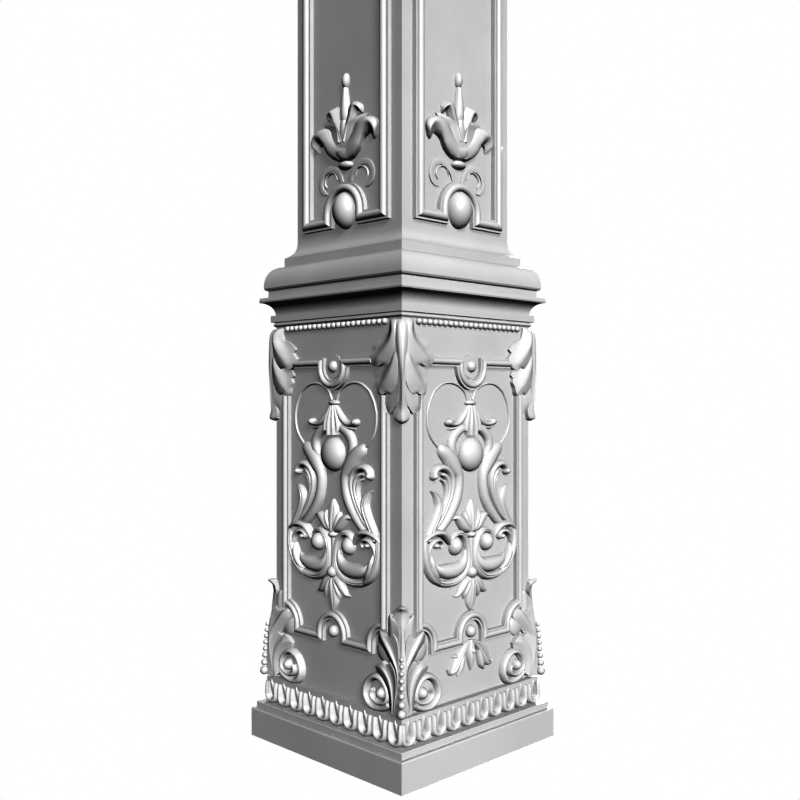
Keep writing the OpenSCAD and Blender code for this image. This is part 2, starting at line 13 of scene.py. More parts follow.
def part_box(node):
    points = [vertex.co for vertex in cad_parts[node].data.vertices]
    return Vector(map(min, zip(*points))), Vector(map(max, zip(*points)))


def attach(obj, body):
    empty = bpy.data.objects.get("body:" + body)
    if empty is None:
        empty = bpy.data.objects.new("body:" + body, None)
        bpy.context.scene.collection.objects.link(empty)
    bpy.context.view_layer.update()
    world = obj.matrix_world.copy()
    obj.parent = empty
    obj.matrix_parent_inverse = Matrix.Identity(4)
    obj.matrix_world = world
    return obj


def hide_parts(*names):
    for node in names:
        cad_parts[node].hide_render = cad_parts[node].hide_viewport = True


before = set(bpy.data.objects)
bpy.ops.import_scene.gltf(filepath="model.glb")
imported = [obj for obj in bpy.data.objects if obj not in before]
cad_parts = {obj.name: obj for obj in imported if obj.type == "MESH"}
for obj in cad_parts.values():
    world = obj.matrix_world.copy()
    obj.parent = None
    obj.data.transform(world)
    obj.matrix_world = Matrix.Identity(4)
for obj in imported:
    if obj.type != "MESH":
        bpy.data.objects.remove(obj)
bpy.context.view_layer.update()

# %% [markdown]
# ## Where things are
# A carving is drawn on one wall. A place on that wall is three numbers in millimetres: `u` across from the
# middle, `z` up from the floor and `h` out of the wall. The pedestal's walls and the shaft's walls stand at
# their own distance from the middle of the post, which the solids' boxes give. The shaft's own box is wider
# than its walls, because of the cove at its foot, so the wall is read from the back of the frame that lies
# on it.

# %% Walls
MM = 0.001
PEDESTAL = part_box("pedestal")[1][0] / MM
SHAFT = -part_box("shaft_frame_front")[1][1] / MM    # the frame's back lies on the shaft's wall
SUNK = 0.4                                         # how far a carving's back goes into the wall
FACES = {"front": 0, "right": 1, "back": 2, "left": 3}
print("pedestal wall at", round(PEDESTAL, 2), "mm, shaft wall at", round(SHAFT, 2), "mm")


def stand(points, wall, quarter=0):
    """Wall places (u, z, h) as places of the post in metres: the front wall's point is (u, -wall - h, z),
    then quarter turns about the post's axis put it on the next walls."""
    p = np.asarray(points, float).reshape(-1, 3)
    x, y, z = p[:, 0], -wall - p[:, 2], p[:, 1]
    for _ in range(quarter):
        x, y = -y, x
    return np.stack([x, y, z], 1) * MM


# %% [markdown]
# ## Surfaces as grids
# Every carved rib is a profile carried along a curved line on the wall. The line is a smooth curve through
# a few points, each with a width and a height. The profile is a round back with grooves cut along it. Both
# are worked out as whole arrays, so that a rib of a thousand faces costs one line of arithmetic.

# %% Smooth line and grid helpers
def cubic(a, b, c, d, t):
    """Catmull-Rom cubic from b to c, whose slope at a row is half the step between its neighbours:
    0.5 (2b + (c-a)t + (2a-5b+4c-d)t^2 + (3b-a-3c+d)t^3) for t from 0 to 1."""
    return 0.5 * (2 * b + (c - a) * t + (2 * a - 5 * b + 4 * c - d) * t**2 + (3 * b - a - 3 * c + d) * t**3)


def smooth(rows, count):
    """Catmull-Rom curve through the rows, at even steps of length. Further columns such as width and height
    run along with it."""
    p = np.asarray(rows, float)
    ends = np.vstack([2 * p[0] - p[1], p, 2 * p[-1] - p[-2]])
    fine = np.linspace(0, len(p) - 1, 16 * len(p))
    k = np.minimum(fine.astype(int), len(p) - 2)
    t = (fine - k)[:, None]
    a, b, c, d = ends[k], ends[k + 1], ends[k + 2], ends[k + 3]
    curve = cubic(a, b, c, d, t)
    length = np.r_[0, np.cumsum(np.linalg.norm(np.diff(curve[:, :2], axis=0), axis=1))]
    even = np.linspace(0, length[-1], count)
    return np.stack([np.interp(even, length, curve[:, i]) for i in range(p.shape[1])], 1)


def grid_faces(rows, columns, wrap=True):
    """Quads between neighbouring rows and columns of a grid of points; wrap joins the last column to the
    first."""
    i, j = np.meshgrid(np.arange(rows - 1), np.arange(columns if wrap else columns - 1), indexing="ij")
    a, b = i * columns + j, i * columns + (j + 1) % columns
    return np.stack([a, b, b + columns, a + columns], -1).reshape(-1, 4)


def closed_tube(rings):
    """A tube through rings of points, its ends closed by fans to the middle of the first and last ring."""
    n, m = rings.shape[:2]
    points = np.vstack([rings.reshape(-1, 3), rings[0].mean(0), rings[-1].mean(0)])
    j = np.arange(m)
    k = (j + 1) % m
    first = np.stack([k, j, np.full(m, n * m)], 1)
    last = np.stack([(n - 1) * m + j, (n - 1) * m + k, np.full(m, n * m + 1)], 1)
    return points, [grid_faces(n, m), first, last]


print("a curve of 3 points at 5 steps:", smooth([[0, 0], [10, 5], [20, 0]], 5).round(1).tolist())


# %% [markdown]
# ## The carver's rib
# A rib's cross-section starts at one edge, rises over its back and comes down at the other edge, then runs
# flat inside the wall. `grooves` cuts that many V-shaped veins along it, `edge` leaves a square side
# standing at the edges, and `lean` moves the crest to one side.

# %% Rib
ACROSS = 17            # points over a plain rib's back
PER_VEIN = 6           # further points for each vein
STEP = 1.1             # length of rib to a ring of points, in millimetres
LEAST_WIDTH = 0.15     # a rib's pointed end is still this wide
LEAST_HEIGHT = 0.1
TUCK = 0.97            # the sunk back's width as a share of the rib's


def rib(rows, steps=None, grooves=0, depth=0.22, edge=0.0, lean=0.0, power=2.2):
    """A rib through rows of (u, z, width, height). Across it, v runs from -1 to 1 and the height is
    (1 - |v|^power)^0.6, mixed with a square side of share edge, less a cut of share depth in each vein, where
    |sin| of the vein's phase is near zero. Returns (points, faces) on the wall."""
    length = np.linalg.norm(np.diff(np.asarray(rows, float)[:, :2], axis=0), axis=1).sum()
    line = smooth(rows, steps or int(max(10, min(90, length / STEP))))
    u, z, width, height = line.T
    width, height = np.maximum(width, LEAST_WIDTH), np.maximum(height, LEAST_HEIGHT)
    slope = np.gradient(line[:, :2], axis=0)
    slope /= np.maximum(np.linalg.norm(slope, axis=1), 1e-6)[:, None]
    across = np.stack([slope[:, 1], -slope[:, 0]], 1)
    turn = np.linspace(-np.pi / 2, np.pi / 2, ACROSS + PER_VEIN * grooves)
    v = np.sin(turn)
    crest = np.clip(v - lean * (1 - v**2), -1, 1)
    back = edge + (1 - edge) * (1 - np.abs(crest) ** power) ** 0.6
    if grooves:
        vein = np.abs(np.sin((v + 1) / 2 * np.pi * (grooves + 1)))
        back = back * (1 - depth * (1 - vein) ** 2.5)
    v = np.r_[-1, v, 1]
    back = np.r_[0, back, 0]
    n, m = len(u), len(v)
    rings = np.empty((n, m + 2, 3))
    rings[:, :m, 0] = u[:, None] + across[:, :1] * v * width[:, None] / 2
    rings[:, :m, 1] = z[:, None] + across[:, 1:] * v * width[:, None] / 2
    rings[:, :m, 2] = height[:, None] * back
    for k, side in ((m, TUCK), (m + 1, -TUCK)):
        rings[:, k, 0] = u + across[:, 0] * side * width / 2
        rings[:, k, 1] = z + across[:, 1] * side * width / 2
        rings[:, k, 2] = -SUNK
    return closed_tube(rings)


def boss(u, z, a, c, b, rings=12, around=28):
    """Half egg on the wall, half-width a, half-height c, standing b out of it: (a cos t cos w, c cos t sin w,
    b sin t)."""
    t = np.linspace(0, np.pi / 2 - 0.03, rings)[:, None]
    w = np.linspace(0, 2 * np.pi, around, endpoint=False)
    across, up = a * np.cos(t) * np.cos(w), c * np.cos(t) * np.sin(w)
    shell = np.stack([u + across, z + up, b * np.sin(t) + 0 * w], -1)
    foot = shell[:1] * [1, 1, 0] + [0, 0, -SUNK]
    return closed_tube(np.concatenate([foot, shell]))


def ball(u, z, h, r, rings=10, around=16):
    """Whole ball with its centre at (u, z, h): circles of radius r sin t at height r cos t."""
    t = np.linspace(0.06, np.pi - 0.06, rings)[:, None]
    w = np.linspace(0, 2 * np.pi, around, endpoint=False)
    across, up = r * np.sin(t) * np.cos(w), r * np.sin(t) * np.sin(w)
    shell = np.stack([u + across, z + up, h - r * np.cos(t) + 0 * w], -1)
    return closed_tube(shell)


def both(parts):
    """The parts and their mirror images about the wall's middle line, with the faces turned back outwards."""
    out = list(parts)
    for points, faces in parts:
        out.append((points * [-1, 1, 1], [f[:, ::-1] for f in faces]))
    return out


p, f = rib([[0, 0, 4, 3], [10, 5, 4, 3], [20, 0, 2, 2]], grooves=2)
print("a rib of two veins:", len(p), "points,", sum(len(x) for x in f), "faces")


# %% [markdown]
# ## From grids to pieces
# A piece is one mesh object, with its place in its mesh and its object at the origin. Each shell's faces
# are turned to point outwards by the sign of its volume, then smooth shading is kept on the rounds and
# broken at the sharp arrises.

# %% Piece maker
def outwards(points, faces):
    """Turns the faces if the shell's volume, the sum of a.(b x c)/6 over its triangles, is negative."""
    tri = np.vstack([np.vstack([f[:, :3], f[:, [0, 2, 3]]]) if f.shape[1] == 4 else f for f in faces])
    a, b, c = (points[tri[:, k]] for k in range(3))
    volume = np.einsum("ij,ij->i", a, np.cross(b, c)).sum()
    return faces if volume > 0 else [f[:, ::-1] for f in faces]


def piece(name, shells, nodes, crease=40):
    """One object of closed shells, each (points in metres, face arrays), that stands for the nodes."""
    verts, loops, sizes, base = [], [], [], 0
    for points, faces in shells:
        for f in outwards(points - points.mean(0), faces):
            loops.append((f + base).ravel())
            sizes.append(np.full(len(f), f.shape[1]))
        verts.append(points)
        base += len(points)
    verts, loops, sizes = np.vstack(verts), np.concatenate(loops), np.concatenate(sizes)
    mesh = bpy.data.meshes.new(name)
    mesh.vertices.add(len(verts))
    mesh.vertices.foreach_set("co", verts.astype(np.float32).ravel())
    mesh.loops.add(len(loops))
    mesh.loops.foreach_set("vertex_index", loops.astype(np.int32))
    mesh.polygons.add(len(sizes))
    mesh.polygons.foreach_set("loop_start", np.r_[0, np.cumsum(sizes)[:-1]].astype(np.int32))
    mesh.update(calc_edges=True)
    mesh.validate()
    mesh.polygons.foreach_set("use_smooth", np.ones(len(mesh.polygons), bool))
    mesh.set_sharp_from_angle(angle=np.radians(crease))
    obj = bpy.data.objects.new(name, mesh)
    bpy.context.scene.collection.objects.link(obj)
    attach(obj, "root")
    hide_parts(*nodes)
    obj.data.materials.append(paint)
    made.append((name, int((sizes - 2).sum())))
    return obj


def on_wall(name, parts, wall, face, node):
    """Puts wall parts on one face of the post as a piece that stands for one node."""
    shells = [(stand(points, wall, FACES[face]), faces) for points, faces in parts]
    return piece(name, shells, [node])


made = []
print("piece maker ready")

# %% [markdown]
# ## Paint
# The post is painted one even grey-white. Paint over carved wood is never quite flat: it is a touch darker
# where it lies thin, it has a fine orange peel, and it is slightly glossier in some patches than in others.
# The noises run on Object coordinates, so they keep their size in millimetres on every piece.

# %% Paint material
def shader_node(tree, kind, **values):
    """New shader node of a kind in the tree, with values on its inputs, named with underscores for spaces."""
    new_node = tree.nodes.new("ShaderNode" + kind)
    for key, value in values.items():
        new_node.inputs[key.replace("_", " ")].default_value = value
    return new_node


def painted_wood(name="grey_white_paint"):
    """Principled paint: base colour and roughness from a broad noise, and a bump from a fine one."""
    mat = bpy.data.materials.new(name)
    mat.use_nodes = True
    tree = mat.node_tree
    tree.nodes.clear()
    link = tree.links.new
    out = shader_node(tree, "OutputMaterial")
    shader = shader_node(tree, "BsdfPrincipled", Specular_IOR_Level=0.5)
    where = shader_node(tree, "TexCoord")
    broad = shader_node(tree, "TexNoise", Scale=14, Detail=3)
    fine = shader_node(tree, "TexNoise", Scale=900, Detail=2)
    tone = shader_node(tree, "ValToRGB")
    gloss = shader_node(tree, "MapRange", To_Min=0.36, To_Max=0.46)
    bump = shader_node(tree, "Bump", Strength=0.05, Distance=0.0002)
    thin, thick = tone.color_ramp.elements
    thin.position = 0.3
    thin.color = (0.585, 0.585, 0.583, 1)
    thick.position = 0.7
    thick.color = (0.625, 0.625, 0.622, 1)
    for noise in (broad, fine):
        link(where.outputs["Object"], noise.inputs["Vector"])
    link(broad.outputs["Fac"], tone.inputs["Fac"])
    link(broad.outputs["Fac"], gloss.inputs["Value"])
    link(fine.outputs["Fac"], bump.inputs["Height"])
    link(tone.outputs["Color"], shader.inputs["Base Color"])
    link(gloss.outputs["Result"], shader.inputs["Roughness"])
    link(bump.outputs["Normal"], shader.inputs["Normal"])
    link(shader.outputs["BSDF"], out.inputs["Surface"])
    return mat


paint = painted_wood()
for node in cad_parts.values():
    node.data.materials.clear()
    node.data.materials.append(paint)
print("painted", len(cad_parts), "solids")

# %% [markdown]
# ## Square mouldings
# A moulding goes round the post with mitred corners, so each point of its outline becomes a square. The
# coves and quarter rounds are smooth curves here, with a step every few degrees.

# %% Moulding maker
def arc(x0, z0, a, b, first, last, count, power=1.0):
    """Points x0 + a cos(t)^power, z0 + b sin(t)^power for t from first to last degrees."""
    t = np.radians(np.linspace(first, last, count))
    c, s = np.clip(np.cos(t), 0, 1), np.clip(np.sin(t), 0, 1)
    return np.stack([x0 + a * c**power, z0 + b * s**power], 1)


def moulding(outline):
    """Closed shell of a square moulding: outline rows (half width, z) from its underside to its top."""
    half, z = np.asarray(outline, float).T
    corner = np.array([[1, -1], [1, 1], [-1, 1], [-1, -1]])
    rings = np.empty((len(half), 4, 3))
    rings[..., :2] = corner * half[:, None, None]
    rings[..., 2] = z[:, None]
    return closed_tube(rings * MM)


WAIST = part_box("waist_moulding")[0][2] / MM
FOOT = SHAFT + 8.7     # half width at the top, where the shaft's foot stands
rise_up = np.linspace(0, 1, 8)
outline = np.vstack([
    [[PEDESTAL + 0.8, WAIST]],
    np.stack([PEDESTAL + 0.6 + 1.5 * np.sin(np.pi / 2 * rise_up), WAIST + 0.2 + 1.9 * rise_up], 1),
    [[PEDESTAL + 1, WAIST + 4.3], [PEDESTAL + 3.9, WAIST + 4.6], [PEDESTAL + 3.9, WAIST + 10.6]],
    arc(PEDESTAL + 11.2, WAIST + 10.8, -10.7, 12, 0, 90, 25),
    [[PEDESTAL + 11.6, WAIST + 24.2], [PEDESTAL + 11.2, WAIST + 27], [PEDESTAL + 5.4, WAIST + 27.2],
     [PEDESTAL + 5.4, WAIST + 34], [PEDESTAL + 7.6, WAIST + 34.8]],
    arc(FOOT, WAIST + 36.4, PEDESTAL + 8.5 - FOOT, 19.8, 0, 90, 28, 0.85),
    [[FOOT, WAIST + 64.6]]])
piece("waist_moulding_turned", [moulding(outline)], ["waist_moulding"], crease=14)
print("waist outline points:", len(outline))

# %% [markdown]
# ## Tongues of the base moulding
# Ten tongues stand on each side, like a row of folded leaves. Each is a thick rim bent into a U with its
# round foot below, and a slim pointed tongue inside it. A low dart fills the gap between two feet.

# %% Base moulding
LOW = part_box("base_moulding")
band = [LOW[0][2] / MM, LOW[1][2] / MM]
edge_out = LOW[1][0] / MM
core = PEDESTAL + 3.4
fillet = PEDESTAL + 6.3
RIM_RADIUS = 0.34     # of the bend at a tongue's foot, as a share of the pitch
RIM_WIDTH = 0.31      # share of the pitch
RIM_END = 0.25        # the rim's width at its two ends, as a share of the pitch
RIM_HEIGHT = 5.8
RIM_END_HEIGHT = 4.8
BEDDED = 0.2          # the tongues start this deep in the core
core_outline = [[edge_out, band[0]], [edge_out, band[0] + 5.2], [edge_out - 0.5, band[0] + 5.7],
                [core, band[0] + 6.2], [core, band[0] + 24.6], [fillet, band[0] + 25], [fillet, band[1]]]


def tongue(middle, pitch, foot):
    """One tongue about its middle: the rim's line goes down, round the foot and up again; the slim tongue and
    the dart beside it are straight ribs. Returns the leaf's parts and the dart."""
    r = pitch * RIM_RADIUS
    t = np.radians(np.linspace(180, 360, 9))
    bend = np.stack([middle + r * np.cos(t), foot + r + 2.6 + r * np.sin(t)], 1)
    rim = np.vstack([[[middle - r, foot + 20], [middle - r, foot + 14]], bend,
                     [[middle + r, foot + 14], [middle + r, foot + 20]]])
    size = np.tile([pitch * RIM_WIDTH, RIM_HEIGHT], (len(rim), 1))
    size[[0, -1]] = [pitch * RIM_END, RIM_END_HEIGHT]
    slim = [[middle, foot + 5.6, 1.2, 0.8], [middle, foot + 9, 3.4, 1.8], [middle, foot + 15, 5, 3.4],
            [middle, foot + 19.4, 3.8, 4.2], [middle, foot + 22.4, 0.6, 3.6]]
    dart = [[middle + pitch / 2, foot + 0.6, 4.2, 2.2], [middle + pitch / 2, foot + 4, 2.6, 2.4],
            [middle + pitch / 2, foot + 8, 0.5, 1.2]]
    return [rib(np.hstack([rim, size]), steps=34), rib(slim, steps=12, power=4)], [rib(dart, steps=6)]


TONGUES = 10
pitch = 2 * (PEDESTAL + 8) / TONGUES
row = []
for i in range(TONGUES):
    leaf, dart = tongue((i - (TONGUES - 1) / 2) * pitch, pitch, band[0] + 5.4)
    row += leaf + (dart if i < TONGUES - 1 else [])
shells = [moulding(core_outline)]
for quarter in FACES.values():
    shells += [(stand(points, core - BEDDED, quarter), faces) for points, faces in row]
piece("base_moulding_tongues", shells, ["base_moulding"])
print("tongues:", TONGUES * 4)

# %% [markdown]
# ## Pearl strings
# Under the waist a string of pearls runs along each side, between the corner leaves. Each is a whole ball
# set a little into the wall.

# %% Pearls
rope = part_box("pearl_string_front")
ends = [rope[0][0] / MM, rope[1][0] / MM]
level = (rope[0][2] + rope[1][2]) / 2 / MM
COUNT = 21
PEARL = 2.85     # a pearl's radius
INSET = 2.7      # from the string's end to the middle of its last pearl
places = np.linspace(ends[0] + INSET, ends[1] - INSET, COUNT)
pearls = [ball(u, level, 1.5, PEARL) for u in places]
for face in FACES:
    on_wall("pearl_string_" + face + "_round", pearls, PEDESTAL, face, "pearl_string_" + face)
print("pearls a side:", COUNT, "step", round(places[1] - places[0], 2))

# %% [markdown]
# ## Panel carving
# The middle of each panel holds one symmetrical carving. From the top: a fine heart-shaped cane from a
# small collar, a pleated bell, an egg held between two arms, long stems with hooked leaves and a horn, a
# pair of volutes with a ball in each eye, and a lily above and below them. Each rib is laid over the one
# behind it.

# %% Upper half: heart, bell and arms
cane = [[3.2, 314], [6.8, 321], [13.5, 325.8], [20, 328.2], [26, 329], [32, 328.5], [37.5, 326.6],
        [42, 323.8], [46, 320.5], [51.2, 312], [53.6, 304], [54, 300], [53.5, 292], [50.3, 284],
        [44.5, 277.3], [38, 271.6]]
CANE_WIDTH = 2.3
CANE_HEIGHT = 1.7
heart = [[u, z, CANE_WIDTH, CANE_HEIGHT] for u, z in cane]
flare = [[3.6, 308.6, 3.4, 3.2], [7.5, 303, 5.4, 4.2], [12.2, 297.6, 6.6, 4.8], [18, 293.8, 5.8, 5.0],
         [24, 293, 4.6, 5.2], [28.5, 294.2, 5.4, 5.8], [31.6, 295.2, 3.6, 5.4]]
lip = [[10, 291, 5, 3.6], [16, 290.6, 4, 3.2], [22, 289.6, 3, 2.8], [28.4, 288.8, 1.2, 1.6]]
fold = [[2.6, 309.4, 3, 3.8], [5.6, 302, 4.8, 5.4], [8, 294, 6.4, 6.2], [8.6, 287.4, 5.6, 6.0]]
pleat = [[1.0, 309.4, 3, 4.2], [2.2, 301, 4.6, 6.0], [3.2, 292, 6.2, 7.0], [3.4, 283.6, 6.0, 6.8]]
arm = [[7, 289.6, 6, 4.2], [12.5, 288.8, 8, 4.6], [18.5, 285.6, 9.2, 4.8], [23, 281, 9.8, 4.8],
       [24.6, 276, 9.8, 4.8], [24, 270.5, 9.6, 4.6], [21, 264, 9.5, 4.2]]
upper = [rib(heart), rib(arm, power=2.6), rib(lip), rib(flare), rib(fold), rib(pleat),
         boss(29, 294.9, 4.2, 3.4, 6.2)]
print("upper ribs:", len(upper))

# %% Stems, hooked leaves and horn
stem = [[41.4, 274, 3, 1.6], [39.4, 273, 9, 4], [35.4, 270.4, 13, 5.6], [30.5, 267, 15.6, 6.4],
        [25, 261.5, 17, 6.8], [20, 255, 14.6, 6.6], [16.9, 249.6, 11.8, 6.2], [16, 243, 10.8, 5.8],
        [16.8, 235.5, 10.8, 5.6], [19.6, 227, 11, 5.4], [26, 217.2, 10.4, 5.2], [33.4, 209, 9.4, 5],
        [41, 202.4, 8, 4.6]]
hook = [[48, 205, 4.4, 4.6], [40, 211.6, 4.6, 4.6], [32.4, 221.6, 4.8, 4.8], [27.2, 232, 5.2, 5.2],
        [25.4, 241, 6, 5.8], [26.6, 248.6, 6.4, 6.2], [30.6, 253.8, 6.6, 6.4], [36.4, 256.5, 6.6, 6.4],
        [42.6, 256.4, 6.6, 6.2], [47, 253.6, 6.6, 6.2], [48, 249.8, 6.4, 6.2]]
hook_inner = [[50, 205.6, 3, 3.6], [41.6, 213, 4, 4], [34.6, 222.6, 4.6, 4.4], [30.4, 232, 5, 4.8],
              [29.2, 240, 5.4, 5.2], [31.2, 246.6, 5.6, 5.4], [35.2, 250.2, 4.6, 5], [39.4, 250.6, 2.2, 3.6]]
hook_least = [[36.6, 222.4, 2, 2.6], [32.4, 232, 3.4, 3.6], [32, 239.6, 4.2, 4.2], [34.6, 244.6, 3.8, 4],
              [38.4, 246.6, 1.8, 2.6]]
horn = [[50.4, 237.4, 0.8, 1.6], [46.4, 235.4, 4.6, 3.8], [42.6, 231, 8, 5.2], [41, 225.4, 9.2, 5.6],
        [42.4, 219, 9.6, 5.6], [46.2, 211.4, 9.6, 5.4], [51.4, 203.4, 9.4, 5.4], [56.4, 196, 8.6, 5.2]]
middle = [rib(hook_least), rib(hook_inner), rib(hook), boss(47.9, 249.6, 3.5, 3.4, 7.0),
          rib(horn, grooves=1, depth=0.25), rib(stem, power=2.2)]
print("middle ribs:", len(middle))

# %% Volutes with their balls
outer = [[58.4, 198, 6, 4.8], [59, 190, 7, 5.4], [57.6, 181, 8, 5.8], [54.2, 172.6, 8.4, 5.8],
         [48.4, 164.8, 8, 5.6], [41.6, 159.6, 5.4, 4.8], [34.6, 156.6, 1.4, 2.6]]
volute = [[48, 162.6, 1.6, 2.6], [40, 158.8, 5.4, 4.6], [32, 157.2, 6.6, 5.2], [24, 157.2, 7.2, 5.4],
          [16.6, 159.2, 7.4, 5.6], [10.2, 163.6, 7.4, 5.6], [5.8, 169.8, 7.4, 5.6], [4.2, 177.6, 7, 5.4],
          [5, 186, 6.8, 5.4], [7.6, 193.4, 6.8, 5.4], [12.8, 198.2, 6.4, 5.4], [19, 199, 5.8, 5.2],
          [24.4, 196.6, 4.6, 4.8], [27, 191.8, 2.2, 3.6]]
cup = [[45.4, 175.6, 1, 2.4], [41.4, 171, 7.6, 5.4], [35, 168.4, 12, 6.6], [27, 167.4, 13.6, 7],
       [19, 168, 13, 6.8], [12.4, 171, 10.6, 6], [8.6, 177, 6.6, 4.8], [8, 184, 3, 3.4]]
lobe = [[51.8, 184.4, 1, 3], [51.4, 178.4, 6.8, 6.4], [49.4, 171.6, 8, 6.8], [45.4, 165.8, 6.4, 6],
        [40, 161.4, 1.8, 3]]
over = [[62.4, 193, 1.6, 3], [57.4, 198.2, 5.2, 5.8], [50.6, 201.4, 6.2, 7], [43.4, 202, 6.4, 7.4],
        [36.6, 200.4, 6.8, 7.2], [31.6, 196, 5.6, 6.4], [28.6, 190.4, 1, 4.2]]
curl = [[55, 184, 3.4, 4.6], [53.2, 190.4, 4.6, 5.2], [49, 194.4, 4.8, 5.6], [43.6, 195.8, 4.2, 5.4],
        [39, 194.4, 3.8, 5], [37.2, 191, 3, 4.2], [39.6, 188.8, 1.6, 3.4]]
lower = [rib(cup, power=2.6), rib(lobe), rib(outer, grooves=1, depth=0.2),
         rib(volute, grooves=1, depth=0.2, lean=0.1), rib(curl), rib(over),
         boss(20.5, 188.4, 7.4, 8.2, 8.4), boss(43.4, 190.8, 3.4, 2.4, 4.6)]
print("lower ribs:", len(lower))

# %% Lilies, beads and egg
lily = [rib([[3, 200.6, 6, 4.8], [8.6, 204, 9.4, 5.8], [13.8, 209.4, 9.6, 5.6], [18.8, 212.6, 6, 4.6],
             [24.4, 211.4, 1, 2]]),
        rib([[2, 200.6, 5, 5], [5.8, 207, 6.4, 6.2], [8.4, 213, 5.4, 5.2], [9, 217, 1.4, 2.6]])]
bell_lily = [rib([[3, 158.4, 6, 4.8], [8.2, 155, 9, 5.6], [13, 149.6, 8.4, 5], [17.4, 145.6, 4.4, 3.4],
                  [22, 144.8, 0.6, 1.6]]),
             rib([[2, 158.6, 5, 5], [5.6, 152, 6.4, 6], [8.2, 145.6, 5.4, 5], [8.8, 141.4, 1.4, 2.6]])]
up_petal = [[0, 200, 8, 5.6], [0, 207, 11, 6], [0, 214, 13.6, 5.6], [0, 220, 12, 4.6], [0, 224.6, 6.4, 3.4],
            [0, 227.5, 0.8, 2]]
down_petal = [[0, 158.8, 8, 5.4], [0, 152, 11, 6], [0, 144.6, 13.6, 5.4], [0, 137.6, 12, 4.4],
              [0, 132.6, 6.4, 3.2], [0, 129.5, 0.8, 1.8]]
centre = [rib(up_petal, grooves=2, depth=0.14), rib(down_petal, grooves=2, depth=0.14),
          rib([[0, 165, 6, 3.6], [0, 180, 5, 3.4], [0, 196, 6, 3.6]]),
          boss(0, 311.6, 6.8, 2.9, 4.8), boss(0, 266.7, 14.7, 15.3, 10.4, rings=20, around=48),
          boss(0, 196.6, 4.9, 3.3, 6.6), boss(0, 163.8, 5.7, 5.7, 7.6)]
carving = both(upper + middle + lower + lily + bell_lily) + centre
for face in FACES:
    on_wall("panel_carving_" + face + "_carved", carving, PEDESTAL, face, "panel_carving_" + face)
print("panel carving:", made[-1])

# %% [markdown]
# ## Pendant under the arch
# A small bunch of drooping leaves hangs under the arch on the right and left faces: one leaf straight down
# the middle, and a long leaf, a short one and a bud on each side of it.

# %% Pendant
long_leaf = [[2, 102.4, 4.4, 3.6], [8, 99.4, 6.6, 4.4], [13.4, 94, 8.4, 5], [18.6, 87, 9.6, 5],
             [22.4, 81.6, 8, 4.4], [26.8, 80, 4, 3.4], [30.2, 83.6, 0.8, 1.8]]
short_leaf = [[10, 94, 5, 4], [12.4, 87, 7.4, 4.8], [14.4, 80.4, 6.6, 4.4], [17.4, 75.6, 1.6, 2.4]]
side_bud = [[15, 90.6, 3, 3.6], [19.6, 93.2, 3.4, 3.4], [23, 92.8, 0.8, 1.8]]
middle_leaf = [[0, 104.4, 4, 3.4], [0, 98, 8.6, 5.2], [0, 91.6, 10, 5.6], [0, 84.6, 6.6, 4.6],
               [0, 77.4, 0.8, 2]]
droop = [rib(long_leaf, grooves=1), rib(short_leaf), rib(side_bud)]
stalk = [rib(middle_leaf, grooves=1, depth=0.3), boss(0, 95, 3.4, 3.6, 7)]
for face in ("right", "left"):
    on_wall("pendant_" + face + "_carved", both(droop) + stalk, PEDESTAL, face, "pendant_" + face)
print("pendant:", made[-1])

# %% [markdown]
# ## Modelled sheets
# Leaves and petals are broader than ribs, so they are modelled as sheets. A sheet is a small net of chosen
# points, each with its place on the wall and its relief, and a smooth surface is spread through the net
# both ways. Its back lies flat in the wall, and walls close it all round.

# %% Sheet
THINNEST = 0.2     # the least relief of a sheet's top


def spread(net, count):
    """Catmull-Rom through the rows of a net, at even steps of the row's number."""
    ends = np.concatenate([[2 * net[0] - net[1]], net, [2 * net[-1] - net[-2]]])
    step = np.linspace(0, len(net) - 1, count)
    k = np.minimum(step.astype(int), len(net) - 2)
    t = (step - k).reshape(-1, *[1] * (net.ndim - 1))
    a, b, c, d = ends[k], ends[k + 1], ends[k + 2], ends[k + 3]
    return cubic(a, b, c, d, t)


def sheet(net, rows=30, columns=18, inside=-1e9):
    """Closed sheet through a net of (across, z, relief): the smooth top, the same places sunk in the wall as
    its back, with none of them at an across below inside, and walls that join the two borders."""
    top = spread(np.asarray(net, float), rows)
    top = spread(top.transpose(1, 0, 2), columns).transpose(1, 0, 2)
    top[..., 2] = np.maximum(top[..., 2], THINNEST)
    back = top.copy()
    back[..., 0] = np.maximum(back[..., 0], inside)
    back[..., 2] = -SUNK
    n = rows * columns
    face = grid_faces(rows, columns, wrap=False)
    index = np.arange(n).reshape(rows, columns)
    border = np.r_[index[0, :], index[1:, -1], index[-1, -2::-1], index[-2:0:-1, 0]]
    after = np.roll(border, -1)
    side = np.stack([after, border, border + n, after + n], 1)
    return np.vstack([top.reshape(-1, 3), back.reshape(-1, 3)]), [face, face[:, ::-1] + n, side]


p, f = sheet([[(0, 0, 1), (5, 0, 2)], [(0, 9, 1), (5, 9, 3)]])
print("a sheet:", len(p), "points,", sum(len(x) for x in f), "faces")

# %% [markdown]
# ## Corner leaves
# A leaf wraps the pedestal's corner, so it is carved on two walls at once. Half of it is modelled on one
# wall, with `t` counted from the corner, and the other half is its mirror image about the corner. Where the
# relief stands in front of the corner, `t` is below zero.

# %% Corner helpers
INSIDE = 0.6     # how far a corner leaf's back stays from the post's corner


def corner(net):
    """Sheet on the wall from a net of (t, z, relief), t from the corner; its back stays inside the post."""
    points, faces = sheet(net, inside=INSIDE)
    return points * [-1, 1, 1] + [PEDESTAL, 0, 0], faces


